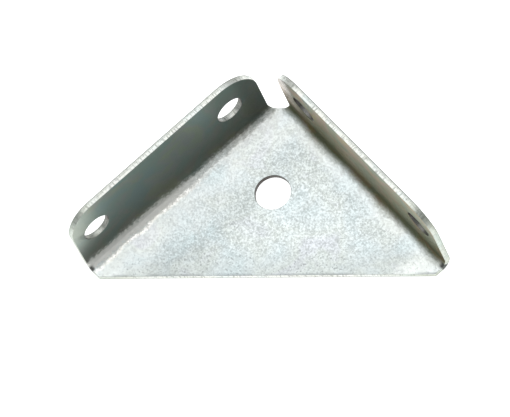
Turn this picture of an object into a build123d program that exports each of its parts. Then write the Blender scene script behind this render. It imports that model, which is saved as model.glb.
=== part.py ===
from build123d import *
import os

os.makedirs("parts", exist_ok=True)

# Corner bracket: one blank of thin steel sheet, folded up along two of its three sides.
# The origin is the centre of the plate's hole, on the face that the bracket stands on.
# One flange looks towards -X, the other towards +Y, and both rise along +Z.

# The sheet and its folds
sheet_thickness = 1.2
bend_inside_radius = 1.4
bend_outside_radius = bend_inside_radius + sheet_thickness
bend_overlap = 0.6

# The plate, measured from the corner where the flanges' outer faces would meet
leg_length = 50.0
tip_width = 4.1
tip_rounding = 0.8

# The flanges
flange_height = 20.0
flange_start = 4.1
outer_corner_radius = 6.2
inner_corner_radius = 7.5

# The punched holes
plate_hole_diameter = 7.0
plate_hole_setback = 15.0
flange_hole_diameter = 5.8
flange_hole_height = 11.6
first_hole_distance = 11.2
last_hole_margin = 5.2

# The relief that keeps the metal apart where the two folds would cross
relief_radius = 3.2
relief_setback = 0.4
flange_foot_radius = 1.4

# Places that follow from the sizes above
corner_x = -plate_hole_setback
corner_y = plate_hole_setback
end_x = corner_x + leg_length
end_y = corner_y - leg_length
plate_x = corner_x + bend_outside_radius
plate_y = corner_y - bend_outside_radius
flange_y = corner_y - flange_start
inner_face_x = corner_x + sheet_thickness
first_hole_y = corner_y - first_hole_distance
last_hole_y = end_y + last_hole_margin
mirror_plane = Plane(origin=(0, 0, 0), z_dir=(1, 1, 0))

with BuildPart() as bracket:
    # The fold and its flange in section: an angle of sheet with a round corner
    with BuildSketch(Plane.XZ.offset(-plate_y)) as section:
        with BuildLine():
            Polyline(
                (corner_x, 0),
                (corner_x, flange_height),
                (inner_face_x, flange_height),
                (inner_face_x, sheet_thickness),
                (plate_x + bend_overlap, sheet_thickness),
                (plate_x + bend_overlap, 0),
                close=True,
            )
        make_face()
        across = section.vertices().group_by(Axis.X)
        inside_corner = across[1].sort_by(Axis.Y)[0]
        outside_corner = across[0].sort_by(Axis.Y)[0]
        fillet(inside_corner, bend_inside_radius)
        fillet(outside_corner, bend_outside_radius)
    extrude(amount=leg_length - bend_outside_radius)

    # Beside the relief the flange is cut back, with a round foot that runs into the fold
    with BuildSketch(Plane.YZ.offset(corner_x)) as cut_back:
        with BuildLine():
            Polyline(
                (flange_y, sheet_thickness),
                (flange_y, flange_height),
                (corner_y, flange_height),
                (corner_y, sheet_thickness),
                close=True,
            )
        make_face()
        fillet(cut_back.vertices().group_by(Axis.X)[0].sort_by(Axis.Y)[0], flange_foot_radius)
    extrude(amount=bend_outside_radius, mode=Mode.SUBTRACT)

    # The flange's two upper corners are round
    upper_corners = bracket.edges().filter_by(Axis.X).group_by(Axis.Z)[-1].sort_by(Axis.Y)
    fillet(upper_corners[0], outer_corner_radius)
    upper_corners = bracket.edges().filter_by(Axis.X).group_by(Axis.Z)[-1].sort_by(Axis.Y)
    fillet(upper_corners[-1], inner_corner_radius)

    # Two screw holes are punched through the flange
    with BuildSketch(Plane.YZ.offset(corner_x)):
        with Locations((first_hole_y, flange_hole_height), (last_hole_y, flange_hole_height)):
            Circle(flange_hole_diameter / 2)
    extrude(amount=sheet_thickness, mode=Mode.SUBTRACT)

    # The second fold and flange are the first ones seen in a mirror
    mirror(about=mirror_plane)

    # The flat plate: a right triangle whose two sharp corners are cut square to the legs
    with BuildSketch(Plane.XY) as outline:
        with BuildLine():
            Polyline(
                (plate_x, plate_y),
                (end_x, plate_y),
                (end_x, corner_y - tip_width),
                (corner_x + tip_width, end_y),
                (plate_x, end_y),
                close=True,
            )
        make_face()
        slanted_ends = outline.vertices().sort_by(Axis((0, 0, 0), (1, -1, 0)))[-2:]
        fillet(slanted_ends, tip_rounding)
    extrude(amount=sheet_thickness)

    # The round relief and the plate's screw hole are punched through the flat sheet
    with BuildSketch(Plane.XY):
        with Locations((corner_x + relief_setback, corner_y - relief_setback)):
            Circle(relief_radius)
        Circle(plate_hole_diameter / 2)
    extrude(amount=bend_outside_radius, mode=Mode.SUBTRACT)

bracket.part.label = "bracket"
export_step(bracket.part, "parts/bracket.step")
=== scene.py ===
# %% [markdown]
# # A folded corner bracket
# The real bracket is one blank of thin zinc plated steel. A press cuts its outline
# and punches its holes while it is flat, and then folds two of its sides up.
# This lesson makes it in the same order: cut, thicken, soften the rims and fold.
# The zinc finish, the floor, the light and the camera come after that.

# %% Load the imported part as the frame
import math

import bmesh
import bpy
from mathutils import Matrix, Vector


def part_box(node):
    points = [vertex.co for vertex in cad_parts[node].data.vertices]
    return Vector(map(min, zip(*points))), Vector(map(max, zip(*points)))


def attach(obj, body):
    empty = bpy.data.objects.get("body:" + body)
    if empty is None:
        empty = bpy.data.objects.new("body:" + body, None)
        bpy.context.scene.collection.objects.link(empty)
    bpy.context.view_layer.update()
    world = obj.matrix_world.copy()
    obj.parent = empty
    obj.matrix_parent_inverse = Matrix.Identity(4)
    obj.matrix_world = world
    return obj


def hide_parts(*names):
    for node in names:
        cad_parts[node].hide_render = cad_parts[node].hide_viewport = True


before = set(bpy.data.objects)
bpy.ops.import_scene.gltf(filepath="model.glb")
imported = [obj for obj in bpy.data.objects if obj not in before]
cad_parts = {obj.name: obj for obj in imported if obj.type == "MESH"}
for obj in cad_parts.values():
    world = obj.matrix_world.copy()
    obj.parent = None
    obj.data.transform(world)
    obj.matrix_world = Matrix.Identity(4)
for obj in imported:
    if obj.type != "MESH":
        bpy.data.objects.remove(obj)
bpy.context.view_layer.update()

low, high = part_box("bracket")
print("the part's box runs from", tuple(low), "to", tuple(high))

# %% [markdown]
# ## The sizes of the bracket
# Lengths are in metres, as everywhere in Blender. The corner is the place where the
# outer faces of the two flanges would meet, and the frame's box gives it to us.
# The box gives the legs and the flanges' height too. The rest is written here once.

# %% Sizes
MM = 0.001
corner_x = low.x
corner_y = high.y
leg = high.x - low.x
flange_height = high.z - low.z
sheet = 1.2 * MM
bend_inside = 1.4 * MM
bend_outside = bend_inside + sheet
tip_width = 4.1 * MM
tip_rounding = 0.8 * MM
flange_start = 4.1 * MM
outer_corner_radius = 6.2 * MM
inner_corner_radius = 7.5 * MM
plate_hole_radius = 3.5 * MM
flange_hole_radius = 2.9 * MM
flange_hole_height = 11.6 * MM
flange_hole_distances = (11.2 * MM, leg - 5.2 * MM)
relief_radius = 3.2 * MM
relief_setback = 0.4 * MM
rim_softness = 0.1 * MM
print(f"legs of {leg / MM:.1f} mm and flanges {flange_height / MM:.1f} mm high")

# %% [markdown]
# ## Folding as a formula
# A fold turns flat sheet into an arc. Everything up to the bend line stays where it
# is. Past it, a point's distance from the line becomes an angle, until the arc has
# turned by 90 degrees, and what is left over becomes height on the flange.
# The arc keeps its length on the sheet's middle, so its outer skin is stretched.
# A modifier could bend it too, but these sums give both radii exactly.

# %% Fold one point of the blank
middle_radius = bend_inside + sheet / 2
arc_length = middle_radius * math.pi / 2
bend_x = corner_x + bend_outside
bend_y = corner_y - bend_outside
blank_reach = arc_length + flange_height - bend_outside


def past_fold(distance, depth):
    """How far outward and how high a point is, from its distance past the bend line."""
    angle = min(distance, arc_length) / middle_radius
    radius = bend_outside - depth
    outward = radius * math.sin(angle)
    up = bend_outside - radius * math.cos(angle)
    return outward, up + max(distance - arc_length, 0)


def fold(place):
    """Takes a point of the flat blank (x, y, depth in the sheet) to the folded bracket."""
    x, y, depth = place
    if x < bend_x:
        outward, up = past_fold(bend_x - x, depth)
        return Vector((bend_x - outward, y, up))
    if y > bend_y:
        outward, up = past_fold(y - bend_y, depth)
        return Vector((x, bend_y + outward, up))
    return Vector((x, y, depth))


print(f"the blank reaches {blank_reach / MM:.2f} mm past each bend line")

# %% [markdown]
# ## The outline of the blank
# The outline is drawn for one side only, and its mirror image makes the other,
# because the two flanges are alike. Round corners are arcs with a point every few
# degrees. The relief between the flanges is a shallow arc that runs into the foot
# of each flange without a kink, as a punch with rounded corners leaves it.

# %% Helpers for arcs, circles and the mirror image
def arc(centre, radius, start, end, step=5.0):
    """Points on an arc, from one angle to another, in degrees."""
    count = max(2, math.ceil(abs(end - start) / step) + 1)
    angles = [math.radians(start + (end - start) * i / (count - 1)) for i in range(count)]
    return [(centre[0] + radius * math.cos(a), centre[1] + radius * math.sin(a)) for a in angles]


def circle(centre, radius, count=72):
    """Points all round a hole."""
    turns = [2 * math.pi * i / count for i in range(count)]
    return [(centre[0] + radius * math.cos(a), centre[1] + radius * math.sin(a)) for a in turns]


def mirrored(points):
    """The same points on the other side of the plate's diagonal, in reverse order."""
    middle_x = corner_x + corner_y
    return [(middle_x - y, middle_x - x) for x, y in reversed(points)]


# %% The relief and the foot that it runs into
relief_centre = (corner_x + relief_setback, corner_y - relief_setback)
reach = bend_x - relief_centre[0]
relief_end = math.degrees(-math.acos(reach / relief_radius))
relief_low_y = relief_centre[1] + relief_radius * math.sin(math.radians(relief_end))
foot_turn = 90 + relief_end
foot_gain = relief_low_y - (corner_y - flange_start)
foot_radius = foot_gain / (1 - math.cos(math.radians(foot_turn)))
foot_top_x = bend_x - foot_radius * math.sin(math.radians(foot_turn))
print(f"the relief turns to {relief_end:.1f} degrees, foot radius {foot_radius / MM:.2f} mm")

# %% Half of the outline, from the relief to the slanted side
diagonal = -45
tip_turn = 45
start_y = corner_y - flange_start
top_x = bend_x - blank_reach
end_y = corner_y - leg
tip_inset = tip_rounding * math.tan(math.radians(tip_turn / 2))
foot_centre = (foot_top_x, start_y + foot_radius)
inner_centre = (top_x + inner_corner_radius, start_y - inner_corner_radius)
outer_centre = (top_x + outer_corner_radius, end_y + outer_corner_radius)
tip_centre = (corner_x + tip_width - tip_inset, end_y + tip_rounding)

half = arc(relief_centre, relief_radius, diagonal, relief_end, step=2.0)
half += arc(foot_centre, foot_radius, foot_turn - 90, -90, step=3.0)[1:]
half += arc(inner_centre, inner_corner_radius, 90, 180)
half += arc(outer_centre, outer_corner_radius, 180, 270)
half += [(bend_x, end_y)]
half += arc(tip_centre, tip_rounding, 270, 270 + tip_turn)
outline = half + mirrored(half)[:-1]
print(f"outline of {len(outline)} points")

# %% [markdown]
# ## Cutting and thickening the blank
# The outline and the five holes become closed loops of edges, and one fill makes a
# flat sheet of triangles that leaves the holes open. Sheet can only bend where it has
# points, so each fold zone gets a row of cuts along its bend line. Then the skin is
# extruded by the sheet's thickness.

# %% Fill the outline and leave the holes open
hole_x = bend_x - (arc_length + flange_hole_height - bend_outside)
side_centres = [(hole_x, corner_y - distance) for distance in flange_hole_distances]
side_holes = [circle(centre, flange_hole_radius) for centre in side_centres]
back_holes = [mirrored(hole) for hole in side_holes]
plate_hole = circle((0, 0), plate_hole_radius)

blank = bmesh.new()
for loop in [outline, plate_hole, *side_holes, *back_holes]:
    ring = [blank.verts.new((x, y, 0)) for x, y in loop]
    for a, b in zip(ring, ring[1:] + ring[:1]):
        blank.edges.new((a, b))
bmesh.ops.triangle_fill(blank, use_beauty=True, edges=blank.edges[:], normal=(0, 0, 1))
print(f"flat blank of {len(blank.faces)} faces")

# %% Cut the fold zones into narrow strips
fold_steps = 14
snap = 1e-8
for i in range(fold_steps + 1):
    past_line = arc_length * i / fold_steps
    side_cut = ((bend_x - past_line, 0, 0), (1, 0, 0))
    back_cut = ((0, bend_y + past_line, 0), (0, 1, 0))
    for place, across in (side_cut, back_cut):
        everything = blank.verts[:] + blank.edges[:] + blank.faces[:]
        bmesh.ops.bisect_plane(blank, geom=everything, plane_co=place, plane_no=across, dist=snap)
print(f"{len(blank.faces)} faces after the cuts")

# %% Give it the sheet's thickness
lifted = bmesh.ops.extrude_face_region(blank, geom=blank.faces[:], use_keep_orig=True)
upper_points = [item for item in lifted["geom"] if isinstance(item, bmesh.types.BMVert)]
bmesh.ops.translate(blank, verts=upper_points, vec=(0, 0, sheet))
bmesh.ops.recalc_face_normals(blank, faces=blank.faces[:])
open_edges = [edge for edge in blank.edges if not edge.is_manifold]
print(f"{len(blank.faces)} faces and {len(open_edges)} open edges")

# %% [markdown]
# ## Soft rims
# A punched edge is never knife sharp, and light shows it as a thin bright line. Every
# edge between a skin and a cut wall gets a tiny bevel. It is done while the blank is
# flat, because there a wall is plainly upright and a skin is plainly level.

# %% Bevel the rims
nearly_level = 0.9


def is_skin(face):
    """Whether a face lies level in the flat blank."""
    return abs(face.normal.z) > nearly_level


def is_rim(edge):
    """Whether an edge has a skin on one side and a cut wall on the other."""
    faces = edge.link_faces
    return len(faces) == 2 and is_skin(faces[0]) != is_skin(faces[1])


rims = [edge for edge in blank.edges if is_rim(edge)]
bevel = {"offset": rim_softness, "offset_type": "OFFSET", "segments": 2, "profile": 0.5}
bmesh.ops.bevel(blank, geom=rims, affect="EDGES", **bevel)
bmesh.ops.recalc_face_normals(blank, faces=blank.faces[:])
for face in blank.faces:
    face.material_index = 0 if is_skin(face) else 1
    face.smooth = True
print(f"{len(rims)} rim edges softened, {len(blank.faces)} faces now")

# %% [markdown]
# ## Folding it up
# Each point keeps a note of where it lay in the flat blank, in an attribute called
# blank_place. The finish reads it, so that grain and marks run round the folds
# unbroken, as they do on sheet that was rolled flat before it was bent.

# %% Fold the blank into the bracket
sheet_mesh = bpy.data.meshes.new("bracket_sheet")
blank.to_mesh(sheet_mesh)
blank.free()
sheet_mesh.attributes.new("blank_place", "FLOAT_VECTOR", "POINT")
sheet_mesh.attributes.new("hole_wall_shade", "FLOAT", "POINT")
blank_place = sheet_mesh.attributes["blank_place"]
for point, note in zip(sheet_mesh.vertices, blank_place.data):
    note.vector = point.co
    point.co = fold(point.co)
print(f"{len(sheet_mesh.vertices)} points folded")

# %% [markdown]
# ## Shaded hole walls
# Each hole's wall is painted darker than the outer cut edges, as shade, most of all at
# two opposite places. A second attribute holds how much shade is painted on each point
# of such a wall. It is worked out here, once, from the hole's centre, because a shader
# would need a distance to each of the five holes.

# %% Note how much shade each hole's wall gets
plate_wall_shade = 0.95
side_wall_shade = 0.12
back_wall_shade = 0.75
end_falloff = 4
x_axis = 0
y_axis = 1

# Each hole has a centre, a radius, a level of painted shade and the axis towards its darkest places
holes = [((0, 0), plate_hole_radius, plate_wall_shade, x_axis)]
for centre in side_centres:
    holes.append((centre, flange_hole_radius, side_wall_shade, y_axis))
    holes.append((mirrored([centre])[0], flange_hole_radius, back_wall_shade, x_axis))

hole_wall_shade = sheet_mesh.attributes["hole_wall_shade"]
# Painted shade: each point on a hole's wall gets its level
for note, shaded in zip(blank_place.data, hole_wall_shade.data):
    for centre, radius, shade_level, axis in holes:
        away = (note.vector.x - centre[0], note.vector.y - centre[1])
        if math.hypot(*away) < radius + 2 * rim_softness:
            towards_end = abs(away[axis]) / radius
            shaded.value = min(1, shade_level + (1 - shade_level) * towards_end ** end_falloff)
shaded_points = [note.value for note in hole_wall_shade.data if note.value > 0]
print(f"{len(shaded_points)} points on hole walls, dulled from {min(shaded_points):.2f}")

# %% [markdown]
# ## One object in place of the part's node
# The folded sheet stands for the node bracket and rides on the part's only body.
# Weighted normals let the large flat faces set the shading, so that the small bevels
# don't bend it.

# %% Place the sheet in the scene
bracket = bpy.data.objects.new("bracket_sheet", sheet_mesh)
bpy.context.scene.collection.objects.link(bracket)
steady = bracket.modifiers.new("Steady normals", "WEIGHTED_NORMAL")
steady.weight = 80
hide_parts("bracket")
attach(bracket, "root")
print("folded bracket measures", [round(size / MM, 2) for size in bracket.dimensions])

# %% [markdown]
# ## Node groups for the finish
# Zinc plating has no picture on it. What one sees is a fine grain from the rolled
# steel, slow patches of colour from the bath, a painted highlight beside each fold,
# painted shade with soft hues of the bath's film in the pocket between the flanges,
# and the bright and torn parts of each cut wall. Every effect is a group of nodes that
# puts out masks, a colour or a height, and the two finishes further on are put
# together from them.

# %% Helpers for groups, nodes and links
def new_group(name, inputs, outputs):
    """An empty shader node group with its sockets, and the sockets to build between."""
    group = bpy.data.node_groups.new(name, "ShaderNodeTree")
    for title, kind, value in inputs:
        socket = group.interface.new_socket(title, in_out="INPUT", socket_type="NodeSocket" + kind)
        if value is not None:
            socket.default_value = value
    for title, kind in outputs:
        group.interface.new_socket(title, in_out="OUTPUT", socket_type="NodeSocket" + kind)
    given = group.nodes.new("NodeGroupInput")
    result = group.nodes.new("NodeGroupOutput")
    return group, given.outputs, result.inputs


def feed(tree, socket, value):
    """Links a socket to another one, or sets it to a plain value."""
    if isinstance(value, bpy.types.NodeSocket):
        tree.links.new(value, socket)
    else:
        socket.default_value = value


def add(tree, kind, links=(), **settings):
    """Adds a node, sets its options and feeds its inputs."""
    node = tree.nodes.new("ShaderNode" + kind)
    for name, value in settings.items():
        setattr(node, name, value)
    for socket, value in dict(links).items():
        feed(tree, node.inputs[socket], value)
    return node


# %% Helpers for sums
def maths(tree, operation, a, b=0.0, clamp=False):
    """One sum on one or two values."""
    return add(tree, "Math", {0: a, 1: b}, operation=operation, use_clamp=clamp).outputs[0]


def chain(tree, operation, values):
    """The same sum on several values, one after another."""
    answer = values[0]
    for value in values[1:]:
        answer = maths(tree, operation, answer, value)
    return answer


def plus(tree, *values):
    """All the values added up."""
    return chain(tree, "ADD", values)


def times(tree, *values):
    """All the values multiplied."""
    return chain(tree, "MULTIPLY", values)


def minus(tree, a, b):
    """The first value less the second."""
    return maths(tree, "SUBTRACT", a, b)


def remap(tree, value, from_low, from_high, to_low=0.0, to_high=1.0, shape="SMOOTHSTEP"):
    """Takes a value from one range to another, with soft ends unless the shape is LINEAR."""
    node = add(tree, "MapRange", {"Value": value}, interpolation_type=shape)
    limits = {"From Min": from_low, "From Max": from_high, "To Min": to_low, "To Max": to_high}
    for socket, limit in limits.items():
        feed(tree, node.inputs[socket], limit)
    return node.outputs["Result"]


# %% Helpers for noise and colour
def noise(tree, place, scale, detail=3.0, rough=0.5, distortion=0.0):
    """Cloudy noise between 0 and 1."""
    links = {"Vector": place, "Scale": scale, "Detail": detail}
    links.update({"Roughness": rough, "Distortion": distortion})
    return add(tree, "TexNoise", links).outputs["Fac"]


def blend_colours(tree, factor, a, b, how="MIX"):
    """Mixes two colours."""
    node = tree.nodes.new("ShaderNodeMix")
    node.data_type = "RGBA"
    node.blend_type = how
    for socket, value in zip((node.inputs["Factor"], node.inputs[6], node.inputs[7]), (factor, a, b)):
        feed(tree, socket, value)
    return node.outputs[2]


def colour_ramp(tree, factor, stops):
    """A colour that changes along a value, from a list of places and colours."""
    ramp = add(tree, "ValToRGB", {"Fac": factor})
    for _ in stops[2:]:
        ramp.color_ramp.elements.new(0.5)
    for stop, (where, colour) in zip(ramp.color_ramp.elements, stops):
        stop.position = where
        stop.color = (*colour, 1)
    return ramp.outputs["Color"]


# %% [markdown]
# ## Rolled grain
# Rollers leave the sheet with a fine mottle and small pits that crowd in some places
# and thin out in others. Noise at four sizes gives them, each a share of one value,
# the grain per metre, so that a material can ask for finer or coarser steel.

# %% Group: rolled grain
fine_share = 0.82
coarse_share = 0.18
grain, given, result = new_group(
    "Rolled grain",
    [("Place", "Vector", None), ("Grain per metre", "Float", 2600.0)],
    [("Mottle", "Float"), ("Specks", "Float"), ("Height", "Float")],
)
place, fineness = given["Place"], given["Grain per metre"]
fine = noise(grain, place, fineness, detail=3.0, rough=0.65)
coarse = noise(grain, place, times(grain, fineness, 0.22), detail=4.0)
pits = noise(grain, place, times(grain, fineness, 0.8), detail=2.0)
crowds = noise(grain, place, times(grain, fineness, 0.06), detail=3.0)

mottle = plus(grain, times(grain, fine, fine_share), times(grain, coarse, coarse_share))
crowded = remap(grain, crowds, 0.40, 0.64, 0.45, 1.0)
feed(grain, result["Mottle"], remap(grain, mottle, 0.38, 0.62))
feed(grain, result["Specks"], times(grain, remap(grain, pits, 0.56, 0.68), crowded))
feed(grain, result["Height"], fine)
print(f"{grain.name}: {len(grain.nodes)} nodes")

# %% [markdown]
# ## Colours of the bath
# The passivating bath leaves faint tints on zinc, from blue through straw to lilac.
# Slow noise picks a tint, and the tint multiplies the colour that is there already.

# %% Group: colours of the bath
bath_tints = [
    (0.30, (0.80, 0.96, 1.0)),
    (0.44, (0.97, 1.0, 1.0)),
    (0.56, (1.0, 0.99, 0.90)),
    (0.70, (0.97, 0.90, 1.0)),
]
bath, given, result = new_group(
    "Bath colours",
    [
        ("Place", "Vector", None),
        ("Base", "Color", (0.8, 0.8, 0.8, 1)),
        ("Strength", "Float", 0.5),
        ("Patches per metre", "Float", 110.0),
    ],
    [("Colour", "Color")],
)
patches = noise(bath, given["Place"], given["Patches per metre"], distortion=0.6)
tint = colour_ramp(bath, patches, bath_tints)
feed(bath, result["Colour"], blend_colours(bath, given["Strength"], given["Base"], tint, "MULTIPLY"))
print(f"{bath.name}: {len(bath.nodes)} nodes")

# %% [markdown]
# ## Where on the blank a point lies
# Beside the folds, at the ends of the flanges and along the cut sides the finish has
# its marks, and painted highlights and painted shade are among them. The next group turns
# the flat blank's coordinates into the places that these marks ask for: how far a point
# is from each bend line, how far along a flange, and how near the slanted side. A fast
# and a slow noise make the distances waver, so that no border is ruled straight.

# %% Group: fold marks and painted light, the distances
fast_noise = 1500.0
slow_noise = 160.0
fold_mark_outputs = (
    "Painted bright band", "Crest highlight", "Bend", "Past fold", "Up", "Near end", "Near start",
    "Near slant", "Rim shadow line", "Fold end shade", "Bend highlight", "Inside", "Dish",
)
pressed, given, result = new_group(
    "Fold marks and painted light",
    [("Place", "Vector", None), ("Width", "Float", 5.0 * MM)],
    [(title, "Float") for title in fold_mark_outputs],
)
parts = add(pressed, "SeparateXYZ", {0: given["Place"]}).outputs
from_side = minus(pressed, parts["X"], bend_x)
from_back = minus(pressed, bend_y, parts["Y"])
nearest = maths(pressed, "MINIMUM", from_side, from_back)
down_side = minus(pressed, corner_y, parts["Y"])
down_back = minus(pressed, parts["X"], corner_x)
along = maths(pressed, "MAXIMUM", down_side, down_back)
to_slant = minus(pressed, leg + tip_width, plus(pressed, down_side, down_back))
inside = maths(pressed, "GREATER_THAN", parts["Z"], sheet / 2)
feed(pressed, result["Inside"], inside)

ragged = minus(pressed, noise(pressed, given["Place"], fast_noise, 4.0, 0.65), 0.5)
slow = minus(pressed, noise(pressed, given["Place"], slow_noise, 2.0), 0.5)


def waver(fast_reach, slow_reach):
    """A length that wanders over the sheet, by the fast and the slow noise."""
    return plus(pressed, times(pressed, ragged, fast_reach), times(pressed, slow, slow_reach))


uneven = waver(4.0 * MM, 7.0 * MM)
fraying = waver(4.0 * MM, 2.5 * MM)
print(f"{pressed.name}: {len(pressed.nodes)} nodes for the distances")

# %% [markdown]
# The pale band is a painted highlight: it whitens the plate beside the folds, where the
# flanges hold back the light that the plate would mirror. It is wide along the side
# fold and narrow along the back one, and it also covers the two sharp tips of the
# plate. Where a bend ends in the open, a small dark spot of painted shade sits on it.

# %% Fold marks: painted bright band, tips and painted shade at the bend ends
side_nearness = 0.6
back_nearness = 1.8
shared_side = times(pressed, from_side, side_nearness)
shared_back = times(pressed, from_back, back_nearness)
banded = plus(pressed, maths(pressed, "MINIMUM", shared_side, shared_back), uneven)
low_on_flange = remap(pressed, nearest, -8 * MM, -3 * MM)
# Painted highlight: a pale band beside the folds and on the plate's two tips
painted_bright_band = times(pressed, remap(pressed, banded, given["Width"], 0.0), low_on_flange)
painted_bright_tip = remap(pressed, minus(pressed, along, uneven), leg - 6 * MM, leg - 3 * MM)
feed(pressed, result["Painted bright band"], maths(pressed, "MAXIMUM", painted_bright_band, painted_bright_tip))

# Painted shade: a small dark spot where each bend meets the far cut edge
fold_end_shade_place = 0.9 * MM
beside_fold_end = maths(pressed, "ABSOLUTE", plus(pressed, nearest, fold_end_shade_place))
across_fold_end = remap(pressed, beside_fold_end, 0.9 * MM, 0.4 * MM)
at_end = remap(pressed, along, leg - 1.0 * MM, leg - 0.3 * MM)
feed(pressed, result["Fold end shade"], times(pressed, at_end, across_fold_end))
print(f"{pressed.name}: {len(pressed.nodes)} nodes with the pale band")

# %% [markdown]
# The painted shade of the pocket starts in the bend with a frayed edge, later and later
# along the side fold. Between it and the plate the side fold's bend is painted white as
# a highlight, and a bright line of painted highlight runs along the bend line.

# %% Fold marks: edge of the painted shade, bend highlight and crest highlight
shade_film_start = 0.5 * MM
later = remap(pressed, along, 8 * MM, 42 * MM, -0.8 * MM, 1.5 * MM, "LINEAR")
side_frayed = plus(pressed, from_side, later, fraying)
back_frayed = plus(pressed, from_back, waver(1.4 * MM, 2.5 * MM))
side_shade_film = remap(pressed, side_frayed, shade_film_start, -3.4 * MM)
back_shade_film = remap(pressed, back_frayed, shade_film_start, -2.3 * MM)
feed(pressed, result["Past fold"], maths(pressed, "MAXIMUM", side_shade_film, back_shade_film))
in_bend = remap(pressed, plus(pressed, nearest, fraying), 0.8 * MM, -0.3 * MM)
feed(pressed, result["Bend"], in_bend)

# Painted highlight: the side fold's bend painted white, more so towards the far end
highlight_start = remap(pressed, side_frayed, 1.6 * MM, 0.4 * MM)
highlight_end = remap(pressed, side_frayed, -2.4 * MM, -1.0 * MM)
highlight_along = remap(pressed, along, 14 * MM, 32 * MM, 0.15, 1.0)
feed(pressed, result["Bend highlight"], times(pressed, highlight_start, highlight_end, highlight_along))

# Painted highlight: a bright line along the side bend line
crest_place = 0.2 * MM
crest_width = 0.65 * MM
wavy = plus(pressed, minus(pressed, from_side, crest_place), waver(1.2 * MM, 3.0 * MM))
crest = remap(pressed, maths(pressed, "ABSOLUTE", wavy), crest_width, 0.0)
crest_along = remap(pressed, along, 10 * MM, 30 * MM, 0.25, 1.0)
feed(pressed, result["Crest highlight"], times(pressed, crest, crest_along))
print(f"{pressed.name}: {len(pressed.nodes)} nodes with the folds' marks")

# %% Fold marks: height on the flange, ends and the slanted side
up_the_flange = remap(pressed, nearest, -arc_length / 2, -blank_reach, shape="LINEAR")
feed(pressed, result["Up"], up_the_flange)
feed(pressed, result["Near end"], remap(pressed, along, leg - 9 * MM, leg - 1 * MM))
feed(pressed, result["Near start"], remap(pressed, along, 10 * MM, 6.5 * MM))
# The sheet is darker towards the slanted side
darker_by_slant = remap(pressed, plus(pressed, to_slant, uneven), 12 * MM, 1 * MM)
feed(pressed, result["Near slant"], darker_by_slant)
# Painted shadow: a broken dark line just inside the slanted rim
at_rim = remap(pressed, to_slant, 0.9 * MM, 0.3 * MM)
broken_line = remap(pressed, slow, -0.06, 0.06)
feed(pressed, result["Rim shadow line"], times(pressed, at_rim, broken_line))
print(f"{pressed.name}: {len(pressed.nodes)} nodes with the ends")

# %% [markdown]
# Sheet is never quite flat beside a fold: the press leaves a shallow dish there. The
# dish is too shallow for the mesh, but it tilts what the metal mirrors, so it is given
# as a height for a bump. On the plate the height falls away from the bend line and
# levels out. In the bend it goes on rising for a little and then comes back down.

# %% Fold marks: the shallow dish
dish_width = 11 * MM
bend_ease = 0.8 * MM
side_slope = math.tan(math.radians(15))
back_slope = math.tan(math.radians(9))


def dish(distance, slope):
    """The dish's height at a distance from a bend line, from its slope on that line."""
    on_plate = maths(pressed, "MINIMUM", maths(pressed, "MAXIMUM", distance, 0.0), dish_width)
    left_over = minus(pressed, dish_width, on_plate)
    plate_rise = times(pressed, left_over, left_over, 0.5 / dish_width)
    past_line = maths(pressed, "MINIMUM", distance, 0.0)
    into_bend = maths(pressed, "MAXIMUM", past_line, -2 * bend_ease)
    eased = times(pressed, into_bend, into_bend, 0.5 / bend_ease)
    bend_rise = times(pressed, plus(pressed, into_bend, eased), -1.0)
    return times(pressed, plus(pressed, plate_rise, bend_rise), slope)


def this_side_of(distance):
    """One on the plate's side of the other bend line, fading to nothing past it."""
    return remap(pressed, distance, -14 * MM, -1 * MM)


side_dish = times(pressed, dish(from_side, side_slope), this_side_of(from_back))
back_dish = times(pressed, dish(from_back, back_slope), this_side_of(from_side))
feed(pressed, result["Dish"], times(pressed, plus(pressed, side_dish, back_dish), inside))
print(f"{pressed.name}: {len(pressed.nodes)} nodes in all")

# %% [markdown]
# ## Painted shade in the pocket
# On the inner faces of the flanges the colour is painted darker as shade, darker down
# towards the fold and, on the side flange, by the relief, with soft clouds of hue from
# the bath's film. It is cool and green grey on the side flange and warm and olive on the
# back one, and it is painted lighter towards the top of the far ends, where more light
# falls. The back flange's end beside the relief is nearly bare and shines peach. Colours
# run up each flange on a colour ramp.

# %% Colours of the painted shade and its film
# Painted shade: dark colours up each flange, darker towards the fold
cool_shade_stops = [
    (0.0, (0.230, 0.255, 0.225)),
    (0.20, (0.165, 0.195, 0.168)),
    (0.55, (0.235, 0.300, 0.288)),
    (1.0, (0.310, 0.390, 0.360)),
]
warm_shade_stops = [
    (0.0, (0.205, 0.190, 0.112)),
    (0.30, (0.240, 0.215, 0.098)),
    (0.65, (0.370, 0.330, 0.188)),
    (1.0, (0.630, 0.580, 0.450)),
]
cloud_hues = [
    (0.38, (0.74, 0.95, 1.0)),
    (0.45, (0.84, 1.0, 0.84)),
    (0.51, (1.02, 0.97, 0.84)),
    (0.57, (1.28, 0.92, 0.94)),
    (0.63, (1.25, 1.08, 0.60)),
]
peach_stops = [(0.35, (0.66, 0.54, 0.41)), (0.80, (0.36, 0.29, 0.25))]
lit_end_sage = (0.60, 0.65, 0.56, 1)
corner_shade_grey = (0.10, 0.115, 0.10, 1)
corner_shade_strength = 0.5
print(f"{len(cool_shade_stops)} cool and {len(warm_shade_stops)} warm colours up the flanges")

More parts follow.
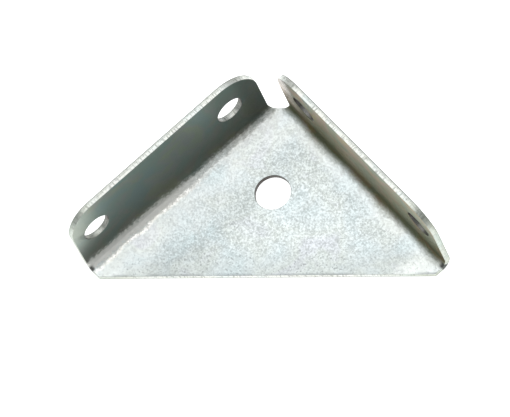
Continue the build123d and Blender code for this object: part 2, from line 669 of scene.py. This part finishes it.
# %% Group: painted shade and film in the pocket
film, given, result = new_group(
    "Pocket film",
    [
        ("Place", "Vector", None),
        ("Up", "Float", 0.0),
        ("Near end", "Float", 0.0),
        ("Near start", "Float", 0.0),
        ("Patches per metre", "Float", 170.0),
    ],
    [("Colour", "Color"), ("Thickness", "Float"), ("Bare", "Float")],
)
parts = add(film, "SeparateXYZ", {0: given["Place"]}).outputs
warm_side = remap(film, plus(film, parts["X"], parts["Y"]), -4 * MM, 4 * MM)
cool_shade_colour = colour_ramp(film, given["Up"], cool_shade_stops)
warm_shade_colour = colour_ramp(film, given["Up"], warm_shade_stops)
colour = blend_colours(film, warm_side, cool_shade_colour, warm_shade_colour)

clouds = noise(film, given["Place"], given["Patches per metre"], distortion=0.8)
hue_strength = remap(film, warm_side, 0.0, 1.0, 0.35, 0.65, "LINEAR")
colour = blend_colours(film, hue_strength, colour, colour_ramp(film, clouds, cloud_hues), "MULTIPLY")

# Painted light: the shade is lighter towards the top of the far ends
high_up = remap(film, given["Up"], 0.28, 0.75)
lit_end_share = remap(film, warm_side, 0.0, 1.0, 0.75, 0.25, "LINEAR")
lit_end = times(film, given["Near end"], high_up, lit_end_share)
colour = blend_colours(film, lit_end, colour, lit_end_sage)
# Painted shade: darker on the side flange by the relief
cool_corner_shade = times(film, given["Near start"], minus(film, 1.0, warm_side))
colour = blend_colours(film, times(film, cool_corner_shade, corner_shade_strength), colour, corner_shade_grey)

bareness = 0.9
above_foot = remap(film, given["Up"], 0.16, 0.36)
bare = times(film, given["Near start"], above_foot, warm_side)
peach = colour_ramp(film, given["Up"], peach_stops)
mostly_bare = times(film, bare, bareness)
feed(film, result["Colour"], blend_colours(film, mostly_bare, colour, peach))
feed(film, result["Thickness"], minus(film, 1.0, mostly_bare))
feed(film, result["Bare"], bare)
print(f"{film.name}: {len(film.nodes)} nodes")

# %% [markdown]
# ## Sheared walls
# A punch shears the upper part of the sheet cleanly and tears the rest. The wall shows
# fine upright marks, a greyer torn strip near the lower skin, a broken dark line where
# one turns into the other and a dark burr on the lower rim. All of it hangs on one
# value, the depth in the sheet, which the flat blank's Z gives.

# %% Group: sheared and torn wall
upright_stretch = (1.0, 1.0, 0.12)
torn_sway = sheet * 1.7
step_sway = sheet * 0.5
step_depth = sheet * 0.48
shear, given, result = new_group(
    "Sheared wall",
    [("Place", "Vector", None), ("Marks per metre", "Float", 1800.0)],
    [("Mark", "Float"), ("Torn", "Float"), ("Step", "Float"), ("Height", "Float")],
)
stretch = {0: given["Place"], 1: upright_stretch}
stretched = add(shear, "VectorMath", stretch, operation="MULTIPLY").outputs[0]
streaks = noise(shear, stretched, given["Marks per metre"], detail=2.0)
sway = minus(shear, streaks, 0.5)
depth = add(shear, "SeparateXYZ", {0: given["Place"]}).outputs["Z"]
torn_edge = plus(shear, depth, times(shear, sway, torn_sway))
feed(shear, result["Mark"], remap(shear, streaks, 0.48, 0.68))
feed(shear, result["Torn"], remap(shear, torn_edge, sheet * 0.42, sheet * 0.10))
feed(shear, result["Height"], streaks)

past_step = plus(shear, minus(shear, depth, step_depth), times(shear, sway, step_sway))
step = remap(shear, maths(shear, "ABSOLUTE", past_step), sheet * 0.14, sheet * 0.04)
broken = remap(shear, noise(shear, given["Place"], 700.0, 3.0, 0.6), 0.44, 0.58)
broken_step = times(shear, step, times(shear, broken, 0.5))
burr = remap(shear, depth, sheet * 0.16, sheet * 0.06)
feed(shear, result["Step"], maths(shear, "MAXIMUM", broken_step, burr))
print("groups made:", [group.name for group in bpy.data.node_groups])

# %% [markdown]
# ## The two finishes
# The skins are zinc over rolled steel: mostly metal and moderately rough. On the grain
# come the darker sheet by the slanted side, the pale band of painted highlight beside
# the folds, the pits, the painted shadow along the slanted rim and the crest's painted
# highlight. Then the bath tints all of it, and inside the pocket the painted shade with
# its film covers it. The bend's painted highlight and the painted shade at the bend
# ends come last, so that the pocket's shade doesn't cover them. The walls were sheared
# before plating, and they share the grain, the painted shade at the bend ends and the
# bath colours.

# %% Helpers that start a material and place a group in it
def new_material(name):
    """A material, its tree, its shader and the place of each point in the flat blank."""
    material = bpy.data.materials.new(name)
    material.use_nodes = True
    tree = material.node_tree
    note = add(tree, "Attribute", attribute_name="blank_place")
    return material, tree, tree.nodes["Principled BSDF"], note.outputs["Vector"]


def place_group(tree, group, links):
    """Puts a node group into a material and feeds its inputs."""
    node = tree.nodes.new("ShaderNodeGroup")
    node.node_tree = group
    for socket, value in links.items():
        feed(tree, node.inputs[socket], value)
    return node.outputs


# %% The plated skins: grain, painted bright band and pits
zinc_light = (0.78, 0.84, 0.85, 1)
zinc_dark = (0.54, 0.585, 0.585, 1)
pit_and_rim_shadow_grey = (0.34, 0.365, 0.375, 1)
painted_band_white = (0.92, 0.96, 0.96, 1)
highlight_white = (0.98, 0.97, 0.93, 1)
fold_end_shade_dark = (0.06, 0.065, 0.06, 1)
band_width = 5.5 * MM
skin_grain = 2900.0
slant_darkening = 0.6
painted_band_strength = 0.75
rim_shadow_strength = 0.6
crest_highlight_strength = 0.8

skin, tree, shader, place = new_material("zinc_plated_skin")
rolled = place_group(tree, grain, {"Place": place, "Grain per metre": skin_grain})
marks = place_group(tree, pressed, {"Place": place, "Width": band_width})
colour = blend_colours(tree, rolled["Mottle"], zinc_dark, zinc_light)
colour = blend_colours(tree, times(tree, marks["Near slant"], slant_darkening), colour, zinc_dark)
# Painted highlight: the pale band whitens the plate beside the folds
painted_band_here = times(tree, marks["Painted bright band"], marks["Inside"])
colour = blend_colours(tree, times(tree, painted_band_here, painted_band_strength), colour, painted_band_white)
pit_depth = remap(tree, marks["Near slant"], 0.0, 1.0, 0.42, 1.0, "LINEAR")
pits_kept = remap(tree, painted_band_here, 0.0, 1.0, 1.0, 0.45, "LINEAR")
pitted = times(tree, rolled["Specks"], pit_depth, pits_kept)
colour = blend_colours(tree, pitted, colour, pit_and_rim_shadow_grey)
# Painted shadow along the slanted rim
colour = blend_colours(tree, times(tree, marks["Rim shadow line"], rim_shadow_strength), colour, pit_and_rim_shadow_grey)
# Painted highlight: a bright line along the side bend line
colour = blend_colours(tree, times(tree, marks["Crest highlight"], crest_highlight_strength), colour, highlight_white)
print(f"{skin.name}: {len(tree.nodes)} nodes up to the bare zinc")

# %% The plated skins: bath, painted shade, bend highlight and bend end shade
bend_highlight_strength = 0.85
fold_end_shade_strength = 0.9
skin_tint = 0.36
skin_patches = 110.0
bath_inputs = {"Place": place, "Base": colour}
bath_inputs.update({"Strength": skin_tint, "Patches per metre": skin_patches})
tinted = place_group(tree, bath, bath_inputs)
shade_film_inputs = {"Place": place}
for title in ("Up", "Near end", "Near start"):
    shade_film_inputs[title] = marks[title]
pocket = place_group(tree, film, shade_film_inputs)
# Painted shade in the pocket, with the film's hues in it
shade_film_here = times(tree, marks["Past fold"], marks["Inside"])
bend_highlight_here = times(tree, marks["Bend highlight"], marks["Inside"])
bare_here = times(tree, pocket["Bare"], shade_film_here)
colour = blend_colours(tree, shade_film_here, tinted["Colour"], pocket["Colour"])
# Painted highlight: the side fold's bend whitened
colour = blend_colours(tree, times(tree, bend_highlight_here, bend_highlight_strength), colour, highlight_white)
# Painted shade where each bend ends
colour = blend_colours(tree, times(tree, marks["Fold end shade"], fold_end_shade_strength), colour, fold_end_shade_dark)
tree.links.new(colour, shader.inputs["Base Color"])
print(f"{skin.name}: {len(tree.nodes)} nodes with its colour done")

# %% [markdown]
# The pocket's painted shade is given less metal than zinc, and so is the bend's painted
# highlight. The mottle makes the roughness waver, the bend's wrinkled start is rougher,
# and the bare end of the back flange and the crest are smoother. Three bumps follow one
# another: the dish beside the folds, the wrinkles and the grain.

# %% The plated skins: metal and roughness
zinc_metal = 0.92
shade_film_metal = 0.55
bend_highlight_metal_loss = 0.35
rough_grain = 0.44
smooth_grain = 0.34
wrinkle_rough = 0.12
bare_shine = 0.16
crest_shine = 0.12

shade_filmed = times(tree, shade_film_here, pocket["Thickness"])
metal = remap(tree, shade_filmed, 0.0, 1.0, zinc_metal, shade_film_metal, "LINEAR")
metal = maths(tree, "SUBTRACT", metal, times(tree, bend_highlight_here, bend_highlight_metal_loss), clamp=True)
tree.links.new(metal, shader.inputs["Metallic"])
on_bend = times(tree, marks["Bend"], minus(tree, 1.0, shade_film_here))
grain_rough = remap(tree, rolled["Mottle"], 0.0, 1.0, rough_grain, smooth_grain, "LINEAR")
rougher = plus(tree, grain_rough, times(tree, on_bend, wrinkle_rough))
bare_part = times(tree, bare_here, bare_shine)
smoother = plus(tree, bare_part, times(tree, marks["Crest highlight"], crest_shine))
tree.links.new(minus(tree, rougher, smoother), shader.inputs["Roughness"])
print(f"{skin.name}: {len(tree.nodes)} nodes with metal and roughness")


# %% The plated skins: relief
def bump(tree, height, strength, distance, normal=None):
    """A bump on top of another one, or on the bare surface."""
    node = add(tree, "Bump", {"Height": height, "Strength": strength, "Distance": distance})
    if normal is not None:
        tree.links.new(normal, node.inputs["Normal"])
    return node.outputs["Normal"]


wrinkle_depth = 0.12 * MM
grain_depth = 0.03 * MM
wrinkles_per_metre = 1100.0

# The dish is given in metres, so its bump takes the height as it is
in_metres = 1.0
wrinkles = noise(tree, place, wrinkles_per_metre, 3.0, 0.7)
grain_strength = remap(tree, bare_here, 0.0, 1.0, 0.35, 0.15, "LINEAR")
dished = bump(tree, marks["Dish"], 1.0, in_metres)
wrinkled = bump(tree, wrinkles, on_bend, wrinkle_depth, dished)
grained = bump(tree, rolled["Height"], grain_strength, grain_depth, wrinkled)
tree.links.new(grained, shader.inputs["Normal"])
print(f"{skin.name}: {len(tree.nodes)} nodes in all")

# %% The sheared walls: colour
wall_light = (0.88, 0.90, 0.87, 1)
wall_mark = (0.42, 0.44, 0.41, 1)
wall_torn = (0.34, 0.36, 0.33, 1)
wall_step = (0.20, 0.22, 0.20, 1)
end_sage = (0.48, 0.52, 0.44, 1)
hole_shade_dark = (0.09, 0.08, 0.075, 1)
wall_grain = 4000.0
punch_marks = 2700.0
mark_share = 0.8
torn_share = 0.45
speck_share = 0.3
step_share = 0.7
end_share = 0.55
wall_tint = 0.3
wall_patches = 160.0

wall, tree, shader, place = new_material("zinc_sheared_wall")
sheared = place_group(tree, shear, {"Place": place, "Marks per metre": punch_marks})
rolled = place_group(tree, grain, {"Place": place, "Grain per metre": wall_grain})
marks = place_group(tree, pressed, {"Place": place, "Width": band_width})
shade_in_hole = add(tree, "Attribute", attribute_name="hole_wall_shade").outputs["Fac"]
colour = blend_colours(tree, times(tree, sheared["Mark"], mark_share), wall_light, wall_mark)
colour = blend_colours(tree, times(tree, sheared["Torn"], torn_share), colour, wall_torn)
colour = blend_colours(tree, times(tree, rolled["Specks"], speck_share), colour, wall_torn)
colour = blend_colours(tree, times(tree, sheared["Step"], step_share), colour, wall_step)
colour = blend_colours(tree, times(tree, marks["Near end"], end_share), colour, end_sage)
# Painted shade: hole walls darkened, most at two opposite places
colour = blend_colours(tree, shade_in_hole, colour, hole_shade_dark)
# Painted shade where each bend ends, on the walls too
colour = blend_colours(tree, times(tree, marks["Fold end shade"], fold_end_shade_strength), colour, fold_end_shade_dark)
bath_inputs = {"Place": place, "Base": colour}
bath_inputs.update({"Strength": wall_tint, "Patches per metre": wall_patches})
tinted = place_group(tree, bath, bath_inputs)
tree.links.new(tinted["Colour"], shader.inputs["Base Color"])
print(f"{wall.name}: {len(tree.nodes)} nodes with its colour done")

# %% The sheared walls: metal, roughness and relief
mark_depth = 0.02 * MM
mark_strength = 0.25
sheared_rough = 0.48
torn_rough = 0.62
shader.inputs["Metallic"].default_value = 1.0
wall_rough = remap(tree, sheared["Torn"], 0.0, 1.0, sheared_rough, torn_rough, "LINEAR")
tree.links.new(wall_rough, shader.inputs["Roughness"])
streaked = bump(tree, sheared["Height"], mark_strength, mark_depth)
tree.links.new(streaked, shader.inputs["Normal"])

sheet_mesh.materials.append(skin)
sheet_mesh.materials.append(wall)
print("finishes:", [material.name for material in sheet_mesh.materials])

# %% [markdown]
# ## The floor
# The bracket lies on a plain white floor. The camera, mirrors and glass see it glow
# white, so that the background needs no extra light, and the lamp still throws the
# bracket's soft shadow on it.

# %% The floor
half_floor = 3.0
gap_below = 0.02 * MM
floor_mesh = bpy.data.meshes.new("floor")
corners = [
    (-half_floor, -half_floor, 0),
    (half_floor, -half_floor, 0),
    (half_floor, half_floor, 0),
    (-half_floor, half_floor, 0),
]
floor_mesh.from_pydata(corners, [], [(0, 1, 2, 3)])
floor = bpy.data.objects.new("floor", floor_mesh)
floor.location.z = low.z - gap_below
bpy.context.scene.collection.objects.link(floor)
print(f"floor {2 * half_floor:.0f} m wide, {gap_below / MM:.2f} mm below the bracket")

# %% White paper that glows only where it is looked at
floor_glow = 0.92
paper = bpy.data.materials.new("white_floor")
paper.use_nodes = True
tree = paper.node_tree
shader = tree.nodes["Principled BSDF"]
shader.inputs["Base Color"].default_value = (0.9, 0.9, 0.9, 1)
shader.inputs["Roughness"].default_value = 0.9
shader.inputs["Specular IOR Level"].default_value = 0.1
shader.inputs["Emission Color"].default_value = (1, 1, 1, 1)
ray = add(tree, "LightPath").outputs
seen = maths(tree, "MAXIMUM", ray["Is Camera Ray"], ray["Is Glossy Ray"])
seen = maths(tree, "MAXIMUM", seen, ray["Is Transmission Ray"])
tree.links.new(times(tree, seen, floor_glow), shader.inputs["Emission Strength"])
floor_mesh.materials.append(paper)
print(f"{paper.name}: glows at {floor_glow}")

# %% [markdown]
# ## The light
# Metal shows what is around it, so the light is one large soft panel nearly overhead,
# a little towards the side flange, in a dim room. The plate mirrors the panel and
# shines, while the flanges mirror the room and stay dark.

# %% The room and the panel
room_colour = (0.97, 1.0, 0.99, 1)
room_strength = 0.3
world = bpy.data.worlds.new("dim room")
world.use_nodes = True
world.node_tree.nodes["Background"].inputs["Color"].default_value = room_colour
world.node_tree.nodes["Background"].inputs["Strength"].default_value = room_strength
bpy.context.scene.world = world

panel_distance = 0.9
panel_width = 1.1
panel_power = 4.8
towards_panel = Vector((-0.25, 0.05, 1.0)).normalized()
lamp = bpy.data.lights.new("main panel", "AREA")
lamp.shape = "SQUARE"
lamp.size = panel_width
lamp.energy = panel_power
panel = bpy.data.objects.new("main panel", lamp)
panel.location = towards_panel * panel_distance
panel.rotation_mode = "QUATERNION"
panel.rotation_quaternion = towards_panel.to_track_quat("Z", "Y")
bpy.context.scene.collection.objects.link(panel)
print(f"panel {panel_width} m wide, {panel_distance} m away, {panel_power} W")

# %% [markdown]
# ## The camera
# The view was fitted to points in the photograph, and the fit gave the angles, the
# distance and the focal length. The camera stands far off with a long lens, so the
# bracket's sides stay nearly parallel. The two small slides put the bracket where it
# lies in the photograph.

# %% The camera
azimuth = math.radians(74.76)
elevation = math.radians(63.63)
roll = math.radians(27.71)
far = 1.6673
image_width = 510
focal_pixels = 8845.3
slide_right = -2.9973 * MM
slide_up = 0.2555 * MM
aim = Vector((2.0, -2.0, 3.0)) * MM
level = math.cos(elevation)
back = Vector((math.sin(azimuth) * level, -math.cos(azimuth) * level, math.sin(elevation)))
right = Vector((math.cos(azimuth), math.sin(azimuth), 0))
up = back.cross(right)
camera_data = bpy.data.cameras.new("camera")
camera_data.sensor_width = 36
camera_data.lens = focal_pixels / image_width * camera_data.sensor_width
camera_data.clip_end = 20
camera = bpy.data.objects.new("camera", camera_data)
turned_right = right * math.cos(roll) - up * math.sin(roll)
turned_up = right * math.sin(roll) + up * math.cos(roll)
turn = Matrix((turned_right, turned_up, back)).transposed().to_4x4()
stand = aim + back * far + right * slide_right + up * slide_up
camera.matrix_world = Matrix.Translation(stand) @ turn
bpy.context.scene.collection.objects.link(camera)
bpy.context.scene.camera = camera
bpy.context.scene.view_settings.view_transform = "Standard"
print(f"lens of {camera_data.lens:.0f} mm, {far} m away")
